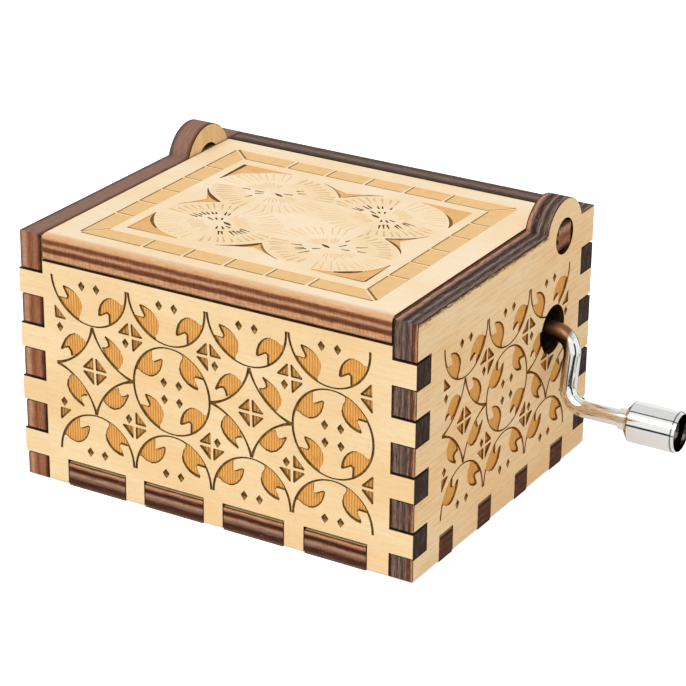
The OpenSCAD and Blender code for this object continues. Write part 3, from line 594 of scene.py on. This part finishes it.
def cutSheet(name, loops, place, thick, carving, finishes, bevels=None):
    # place = (corner, across, up, inwards), so that across x up looks out of the carved face
    corner, across, up, inwards = (Vector(v) for v in place)
    verts, index, polys, slots, maps = [], {}, [], [], []
    order = list(finishes)

    def vertex(x, y, depth, back=False):
        key = (round(x, 4), round(y, 4), round(depth, 4), back)
        if key not in index:
            index[key] = len(verts)
            at = corner + across * x + up * y + inwards * (thick - depth if back else depth)
            verts.append(at * mm)
        return index[key]

    def polygon(corners, kind, places):
        if len(set(corners)) == len(corners):
            polys.append(corners)
            slots.append(order.index(kind))
            maps.extend(places)

    bevels = bevels or [[arris] * len(loop) for loop in loops]
    rings = [rimRings(loop, bevel, number > 0) for number, (loop, bevel) in enumerate(zip(loops, bevels))]
    plain = [rimRings(loop, [arris] * len(loop), number > 0) for number, loop in enumerate(loops)]
    for back, itsRings, shapes in ((False, rings, carving), (True, plain, {})):
        sides = {}
        for points, depths, kind in skin(loops, itsRings, shapes):
            corners = [vertex(p[0], p[1], d, back) for p, d in zip(points, depths)]
            shown = "inside" if back else kind
            if kind == "rim":
                rounded = max(depths) > arris * 1.01
                shown = "face" if rounded or max(p[1] for p in points) < bareRim else "rim"
            turn = -1 if back else 1
            polygon(corners[::turn], shown, points[::turn])
            for i in range(3):
                j = (i + 1) % 3
                sides.setdefault(frozenset((points[i], points[j])), []).append(
                    ((points[i], depths[i]), (points[j], depths[j]), kind))
        for pair in sides.values():              # upright walls of the recesses
            if not back and len(pair) == 2 and pair[0][2] != pair[1][2]:
                (a, b, _), (d, c, deeper) = sorted(pair, key=lambda side: side[0][1] + side[1][1])
                shown = "line" if deeper in ("leaf", "hatch") else deeper
                ends = (b, a, c, d)
                polygon([vertex(*place, depth) for place, depth in ends], shown, [place for place, _ in ends])
    for number, loop in enumerate(loops):        # the cut edges themselves
        run = 0
        depths, backDepths = rings[number][0][1], plain[number][0][1]
        count = len(loop)
        for i in range(count):
            j = (i + 1) % count
            a, b = loop[i], loop[j]
            long = hypot(b[0] - a[0], b[1] - a[1])
            corners = [vertex(*a, depths[i]), vertex(*a, backDepths[i], True),
                       vertex(*b, backDepths[j], True), vertex(*b, depths[j])]
            places = [(run, depths[i]), (run, thick - backDepths[i]),
                      (run + long, thick - backDepths[j]), (run + long, depths[j])]
            facing = (b[1] - a[1]) / long, (a[0] - b[0]) / long
            flat = abs(facing[0]) > 0.7 and long > 1
            side = "hole" if number else "ends" if flat else "top" if facing[1] > -0.2 else "under"
            polygon(corners, side, places)
            run += long
    mesh = bpy.data.meshes.new(name)
    mesh.from_pydata(verts, [], polys)
    for kind in order:
        mesh.materials.append(finishes[kind])
    layer = mesh.uv_layers.new(name="sheet")
    for poly, slot in zip(mesh.polygons, slots):
        poly.material_index = slot
    for spot, place in zip(layer.data, maps):
        spot.uv = place
    piece = bpy.data.objects.new(name, mesh)
    bpy.context.collection.objects.link(piece)
    return piece


# sizes of the case, as its solids have them
case = {"halfWide": 32, "halfDeep": 26, "high": 38, "sheet": 3.7, "frontTop": 34.15, "foot": 0.25,
        "fingerHigh": 3.7, "fingers": [3.7, 11.97, 20.24, 28.51], "proud": 0.4, "clear": 0.1, "rise": 0.35,
        "longTabs": (-19.83, -6.61, 6.61, 19.83), "longTab": 9.75,
        "shortTabs": (-16.755, -5.585, 5.585, 16.755), "shortTab": 3.6,
        "hinge": (16.45, 36.3), "ear": 5.6, "hingeHole": 2.7163, "crank": (13.9, 22.87), "crankHole": 3.65,
        "lidTop": 38.15, "lidHalf": 28.1, "lidTail": 21.746, "lidRound": 0.6}
sheet, halfWide, halfDeep = case["sheet"], case["halfWide"], case["halfDeep"]
hingeY, hingeZ = case["hinge"]
crankY, crankZ = case["crank"]


def footLine(end, tabs, wide):                   # lower edge, with openings for the bottom sheet's tabs
    foot, top = case["foot"], sheet + case["rise"]
    line = [(-end, foot)]
    for at in tabs:
        a, b = at - wide / 2 - case["clear"], at + wide / 2 + case["clear"]
        line += [(a, foot), (a, top), (b, top), (b, foot)]
    return line + [(end, foot)]


def wallLoop(top, proudSide):                    # its fingers stand proud on one side
    c = case
    inX, high, ends = halfWide - sheet, c["fingerHigh"], {}
    for side in (1, -1):
        near, far = side * inX, side * (halfWide + (c["proud"] if side == proudSide else 0))
        ends[side] = [(x, z + up) for z in c["fingers"]
                      for x, up in ((near, 0), (far, 0), (far, high), (near, high))]
    return footLine(inX, c["longTabs"], c["longTab"]) + ends[1] + [(inX, top), (-inX, top)] + ends[-1][::-1]


def sideLoop():
    c, inY = case, halfDeep - sheet
    loop = footLine(halfDeep, c["shortTabs"], c["shortTab"])
    slots = [(z - c["clear"], z + c["fingerHigh"] + c["rise"]) for z in c["fingers"]]
    for low, high in slots:
        loop += [(halfDeep, low), (inY, low), (inY, high), (halfDeep, high)]
    reach = sqrt(c["ear"] ** 2 - (c["high"] - hingeZ) ** 2)
    start = degrees(atan2(c["high"] - hingeZ, reach))
    ear = arc(hingeY, hingeZ, c["ear"], start, 180 - start, 40)
    loop += [(halfDeep, c["high"])] + ear + [(-halfDeep, c["high"])]
    for low, high in slots[::-1]:
        loop += [(-halfDeep, high), (-inY, high), (-inY, low), (-halfDeep, low)]
    return loop


def mirrored(loop):
    return [(-x, y) for x, y in loop][::-1]


def panel(name, node, loops, place, *cut, slot="panel_wood", body="case"):
    # a cut sheet in the place of the frame's own panel
    piece = cutSheet(name, loops, place, sheet, *cut)
    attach(piece, body)
    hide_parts(node)


uncarved = {"face": faceFront, "line": burnt["line"], "rim": burnt["rim"], "inside": faceInside,
            "ends": plies["dark"], "top": plies["dark"], "under": plies["dark"], "hole": plies["hole"]}
carved = dict(uncarved, leaf=burnt["leaf"], hatch=burnt["hatch"], trace=burnt["trace"])
backFinish = dict(carved, top=plies["backTop"])
# the right wall takes warmer, brighter copies of the carving's tones, painted for the shade on that side
rightFinish = dict(carved, face=faceRight, ends=plies["rightEnds"], top=plies["rightTop"],
                   leaf=burnt["leafRight"], hatch=burnt["hatchRight"], line=burnt["lineRight"])
leftFinish = dict(carved, face=faceSide, ends=plies["leftEnds"], top=plies["leftTop"])
bottomFinish = dict(uncarved, face=faceSide, top=plies["tabsFront"], ends=plies["tabsSide"])
lidFinish = dict(uncarved, face=faceLid, under=plies["lidFront"], ends=plies["leftEnds"],
                 **{kind: burnt[kind] for kind in ("block", "fan", "wedge", "trace", "groove", "ray", "petal",
                                                   "smoked")})

longTrellis = {"cell": 13.0, "columns": 4, "middle": 19.1, "tall": 1.028}
sideTrellis = {"cell": 12.5, "columns": 3, "middle": 19.0, "tall": 1.015}
frontCarving = trellis(**longTrellis, lean=lambda z: -0.08 - 0.8 * max(0, (z - 12) / 20) ** 2)
sideCarving = trellis(**sideTrellis)
panel("front_wall", "front_panel", [wallLoop(case["frontTop"], -1)],
      ((0, -halfDeep, 0), (1, 0, 0), (0, 0, 1), (0, 1, 0)), frontCarving, carved)
panel("back_wall", "back_panel", [wallLoop(case["high"], 1)],
      ((0, halfDeep, 0), (-1, 0, 0), (0, 0, 1), (0, -1, 0)), trellis(**longTrellis), backFinish)

rightLoops = [sideLoop(), holeLoop(hingeY, hingeZ, case["hingeHole"]),
              holeLoop(crankY, crankZ, case["crankHole"])]
panel("right_wall", "right_panel", rightLoops,
      ((halfWide, 0, 0), (0, 1, 0), (0, 0, 1), (-1, 0, 0)), sideCarving, rightFinish)
panel("left_wall", "left_panel", [mirrored(sideLoop()), holeLoop(-hingeY, hingeZ, case["hingeHole"])],
      ((-halfWide, 0, 0), (0, -1, 0), (0, 0, 1), (1, 0, 0)), sideCarving, leftFinish)
print("walls cut")

lidHalf, lidTail, tab = case["lidHalf"], case["lidTail"], sheet / 2
soft = case["lidRound"]
lidRight = [(lidHalf, -halfDeep), (lidHalf, soft - halfDeep), (lidHalf, hingeY - tab),
            (halfWide, hingeY - tab), (halfWide, hingeY + tab), (lidHalf, hingeY + tab), (lidHalf, lidTail)]
lidLeft = mirrored(lidRight)
lidLoop = lidLeft[-1:] + lidRight + lidLeft[:-1]
lidBevel = [soft] + [arris] * (len(lidLoop) - 1)
lidCarving = lidPattern()
past = halfWide + 1
# painted shade: the lid's tabs, where they sit inside the ear holes, take a dark tone
lidCarving["smoked"] = [[(side * lidHalf, hingeY - sheet), (side * past, hingeY - sheet),
                         (side * past, hingeY + sheet), (side * lidHalf, hingeY + sheet)] for side in (-1, 1)]
panel("lid_sheet", "lid", [lidLoop], ((0, 0, case["lidTop"]), (1, 0, 0), (0, 1, 0), (0, 0, -1)),
      lidCarving, lidFinish, [lidBevel], slot="lid_wood", body="lid")
print("lid cut")


# metals and plastics of the movement and the crank
def metalFinish(name, base, rough, grain=0.25, scale=6, stretch=(1, 1, 1), bump=0.1):
    f = Finish(name)
    marks = f.noise(f.partPlace(*stretch), scale, 3, 0.6)
    cloud = f.noise(f.partPlace(), 0.35, 3, 0.55)
    stained = colour(*[part * 0.8 for part in base])
    tone = f.mix(f.spread(cloud, 0.35, 0.7) * 0.3, colour(*base), stained)
    gloss = f.spread(marks, 0.3, 0.7, rough * (1 - grain), rough * (1 + grain))
    return f.surface(colour=tone, metal=1.0, rough=gloss, normal=f.bump(marks, bump, 0.02))


# painted dark places of the chrome, in the part's own frame: painted shade inside the knob's hollow end,
# painted shadow rings at the edges of its chamfers, and by the bore a painted reflection of the dark bore and
# the wood beside it
knobHollow = {"y": 12.035, "z": 12.608, "radius": 2.74, "from": 51.6, "tone": (70, 68, 66)}
knobRings = {"at": (46.22, 53.02), "half": 0.11, "share": 0.75, "tone": (74, 70, 66)}
crankPaintedReflection = {"x": 35.22, "fade": 0.3, "low": 12.5, "high": 20, "top": 22.7, "topFade": 0.4,
             "under": (64, 42, 28), "over": (134, 98, 70), "rough": 0.3}


def chromeFinish(name, hollow=None, rings=None, darkening=None):
    f = Finish(name)
    haze = f.noise(f.partPlace(0.3, 1, 1), 2, 3, 0.6)
    tone = f.mix(f.spread(haze, 0.4, 0.8) * 0.2, colour(238, 238, 236), colour(216, 216, 214))
    gloss = f.spread(haze, 0.3, 0.7, 0.05, 0.12)
    place = f.partPlace()
    x, y, z = (f.node("SeparateXYZ", None, {0: place}, axis) for axis in range(3))
    # painted shadow: dark rings where the knob's chamfers meet its barrel
    if rings:
        for at in rings["at"]:
            grooveShade = (x > at - rings["half"]) * (x < at + rings["half"])
            tone = f.mix(grooveShade * rings["share"], tone, colour(*rings["tone"]))
    # painted shade: the knob's hollow end is coloured dark grey
    if hollow:
        away = (y - hollow["y"]) ** 2 + (z - hollow["z"]) ** 2
        inside = (away < hollow["radius"] ** 2) * (x > hollow["from"])
        tone = f.mix(inside, tone, colour(*hollow["tone"]))
    # painted reflection: the arm's wall side by the bore is coloured dark brown low down and lighter brown at
    # the top, and roughened
    if darkening:
        side = f.spread(x, darkening["x"] - darkening["fade"], darkening["x"] + darkening["fade"], 1, 0)
        share = side * f.spread(z, darkening["low"], darkening["high"])
        over = f.spread(z, darkening["top"] - darkening["topFade"], darkening["top"] + darkening["topFade"])
        tone = f.mix(share, tone, f.mix(over, colour(*darkening["under"]), colour(*darkening["over"])))
        gloss = gloss + share * darkening["rough"]
    return f.surface(colour=tone, metal=1.0, rough=gloss, normal=f.bump(haze, 0.04, 0.02))


def plasticFinish():
    f = Finish("wheel_plastic")
    cloud = f.noise(f.partPlace(), 0.8, 3, 0.5)
    tone = f.mix(f.spread(cloud, 0.35, 0.7), colour(236, 230, 212), colour(222, 214, 192))
    gloss = f.spread(cloud, 0.3, 0.7, 0.32, 0.45)
    return f.surface(colour=tone, rough=gloss, normal=f.bump(cloud, 0.05, 0.05))


zinc = metalFinish("cast_zinc", (186, 186, 184), 0.5, 0.2, 9, bump=0.25)
combSteel = metalFinish("comb_steel", (196, 198, 202), 0.3, 0.4, 5, (0.12, 2.5, 1))
screwSteel = metalFinish("screw_steel", (178, 180, 184), 0.32, 0.3, 8)
lead = metalFinish("tuning_lead", (118, 120, 126), 0.6, 0.2, 7)
bracketSteel = metalFinish("bracket_steel", (204, 206, 208), 0.34, 0.3, 4, (1, 1, 0.2))
cylinderBrass = metalFinish("cylinder_brass", (222, 184, 104), 0.3, 0.35, 5, (1.5, 0.1, 1.5))
pinSteel = metalFinish("pin_steel", (226, 208, 160), 0.3)
wormBrass = metalFinish("worm_brass", (214, 176, 96), 0.28, 0.3, 5)
chrome = chromeFinish("crank_chrome", darkening=crankPaintedReflection)
knobChrome = chromeFinish("knob_chrome", knobHollow, knobRings)
nylon = plasticFinish()

finishNodes = [(zinc, ["bedplate"]), (combSteel, ["comb"]), (lead, ["tuning_weights"]),
               (screwSteel, ["bedplate_screws", "comb_screws", "bearing_bracket_screws",
                             "crank_bracket_screws", "cylinder_arbor", "shaft_clip"]),
               (bracketSteel, ["front_bearing_bracket", "rear_bearing_bracket", "crank_bearing_bracket"]),
               (cylinderBrass, ["cylinder_tube", "cylinder_end_discs"]), (pinSteel, ["cylinder_pins"]),
               (wormBrass, ["worm"]), (nylon, ["worm_wheel"]), (chrome, ["crank"]),
               (knobChrome, ["crank_knob"])]
for finish, names in finishNodes:
    for slot in [slot for name in names for slot in nodes[name].material_slots]:
        slot.material = finish
print("movement finished")


# bottom sheet
def bottomLoop():
    c, inX, inY = case, halfWide - sheet, halfDeep - sheet
    loop = [(-inX, -inY)]
    for x in c["longTabs"]:
        a, b = x - c["longTab"] / 2, x + c["longTab"] / 2
        loop += [(a, -inY), (a, -halfDeep), (b, -halfDeep), (b, -inY)]
    loop.append((inX, -inY))
    for y in c["shortTabs"]:
        a, b = y - c["shortTab"] / 2, y + c["shortTab"] / 2
        loop += [(inX, a), (halfWide, a), (halfWide, b), (inX, b)]
    return loop + [(-x, -y) for x, y in loop]


screwHoles = {"at": [(-21.5, 18.1), (-11.5, -16.8), (19.07, -12.2)], "radius": 2.54, "steps": 40}
bottomLoops = [bottomLoop()] + [holeLoop(x, -y, screwHoles["radius"], screwHoles["steps"])
                                for x, y in screwHoles["at"]]
panel("bottom_sheet", "bottom_panel", bottomLoops, ((0, 0, 0), (1, 0, 0), (0, -1, 0), (0, 0, 1)),
      {}, bottomFinish)
print("bottom cut")


# floor: open under the bottom sheet and clear from underneath, so that the box can be seen from below
floorLook = {"reach": (3, 3), "opening": (0.0308, 0.0248), "tone": (0.86, 0.86, 0.86, 1), "glow": 0.72,
             "mirrored": 0.04}


def floorFinish():
    f = Finish("pale_floor")
    lit = f.node("BsdfDiffuse", None, {"Color": floorLook["tone"]})
    both = f.node("AddShader", None, {0: lit, 1: f.glow(floorLook["glow"])})
    mirrored = f.node("LightPath", output="Is Glossy Ray") * floorLook["mirrored"]
    seen = f.node("LightPath", output="Is Camera Ray") + mirrored
    top = f.node("MixShader", None, {0: seen, 1: lit, 2: both})
    under = f.node("NewGeometry", output="Backfacing")
    return f.show(f.node("MixShader", None, {0: under, 1: top, 2: f.node("BsdfTransparent")}))


def staged(name, spots, sides, finish):          # scenery, not part of the object
    mesh = bpy.data.meshes.new(name)
    mesh.from_pydata(spots, [], sides)
    mesh.materials.append(finish)
    made = bpy.data.objects.new(name, mesh)
    bpy.context.collection.objects.link(made)
    return made


floorSpots = [(sx * wide, sy * deep, 0) for wide, deep in (floorLook["reach"], floorLook["opening"])
              for sx, sy in ((-1, -1), (1, -1), (1, 1), (-1, 1))]
floorSides = [(i, (i + 1) % 4, 4 + (i + 1) % 4, 4 + i) for i in range(4)]
staged("floor", floorSpots, floorSides, floorFinish())

# cards that only the polished metal sees: flat ones at a level, and upright ones along an arc
cards = {"overhead": {"spots": [(-600, -70), (700, -70), (700, 700), (-600, 700)], "level": 520, "glow": 0.8},
         "strip": {"spots": [(-600, -135), (700, -135), (700, -72), (-600, -72)], "level": 515, "glow": 0.03},
         "mat": {"spots": [(71.5, -21.7), (105.3, -54.4), (124.1, -26.5), (81.2, -7.3)], "level": 0.4},
         "batten": {"round": (45, 12), "radius": 97, "high": 18, "from": -126, "to": -89},
         "rail": {"round": (35.5, 13), "radius": 97, "high": 9, "from": -80, "to": -48},
         "board": {"round": (35.5, 13), "radius": 97, "high": 16, "from": -48, "to": -11},
         "post": {"round": (35.5, 13), "radius": 97, "low": 16, "high": 75, "from": -31, "to": -9},
         "sill": {"round": (35.5, 13), "radius": 60, "high": 3.5, "from": -16, "to": 74},
         "skirting": {"round": (35.5, 13), "radius": 97, "high": 30, "from": 66, "to": 94}}
cardSteps, cardLow, cardGlow = 36, 0.5, 0.02     # where a card doesn't say otherwise
for name, card in cards.items():
    if "round" in card:
        curve = arc(*card["round"], card["radius"], card["from"], card["to"], cardSteps)
        spots = [Vector((x, y, z)) * mm for z in (card.get("low", cardLow), card["high"]) for x, y in curve]
        sides = [(i, i + 1, i + cardSteps + 2, i + cardSteps + 1) for i in range(cardSteps)]
    else:
        spots = [Vector((x, y, card["level"])) * mm for x, y in card["spots"]]
        sides = [(0, 1, 2, 3)]
    f = Finish("card_" + name)
    made = staged("card_" + name, spots, sides, f.show(f.glow(card.get("glow", cardGlow))))
    made.visible_camera = made.visible_diffuse = made.visible_shadow = made.visible_transmission = False

# light: a soft sky, white where it is seen, and one soft sun
light = {"sky": 0.64, "sun": 1.5, "sunTurn": (43, 0, 4), "sunSoft": 50}
studio = Finish("studio", "worlds")
seen = studio.node("LightPath", output="Is Camera Ray") + studio.node("LightPath", output="Is Glossy Ray")
strength = studio.spread(seen, 0, 1, light["sky"], 1)
sky = studio.node("Background", None, {"Color": white, "Strength": strength})
bpy.context.scene.world = studio.show(sky, "World")

lamp = bpy.data.lights.new("key", "SUN")
lamp.energy, lamp.angle = light["sun"], radians(light["sunSoft"])
sun = bpy.data.objects.new("key", lamp)
sun.rotation_euler = [radians(turn) for turn in light["sunTurn"]]
bpy.context.collection.objects.link(sun)

# camera
view = {"lens": 139.947, "sensor": 36, "near": 0.02, "far": 20, "place": (0.1839487, -0.3031435, 0.1726272),
        "turn": (66.5069, -0.5602, 30.7345)}
cameraData = bpy.data.cameras.new("camera")
cameraData.lens, cameraData.sensor_width = view["lens"], view["sensor"]
cameraData.clip_start, cameraData.clip_end = view["near"], view["far"]
camera = bpy.data.objects.new("camera", cameraData)
camera.location = view["place"]
camera.rotation_euler = [radians(turn) for turn in view["turn"]]
bpy.context.collection.objects.link(camera)
bpy.context.scene.camera = camera
bpy.context.scene.view_settings.view_transform = "Standard"
print("studio set")
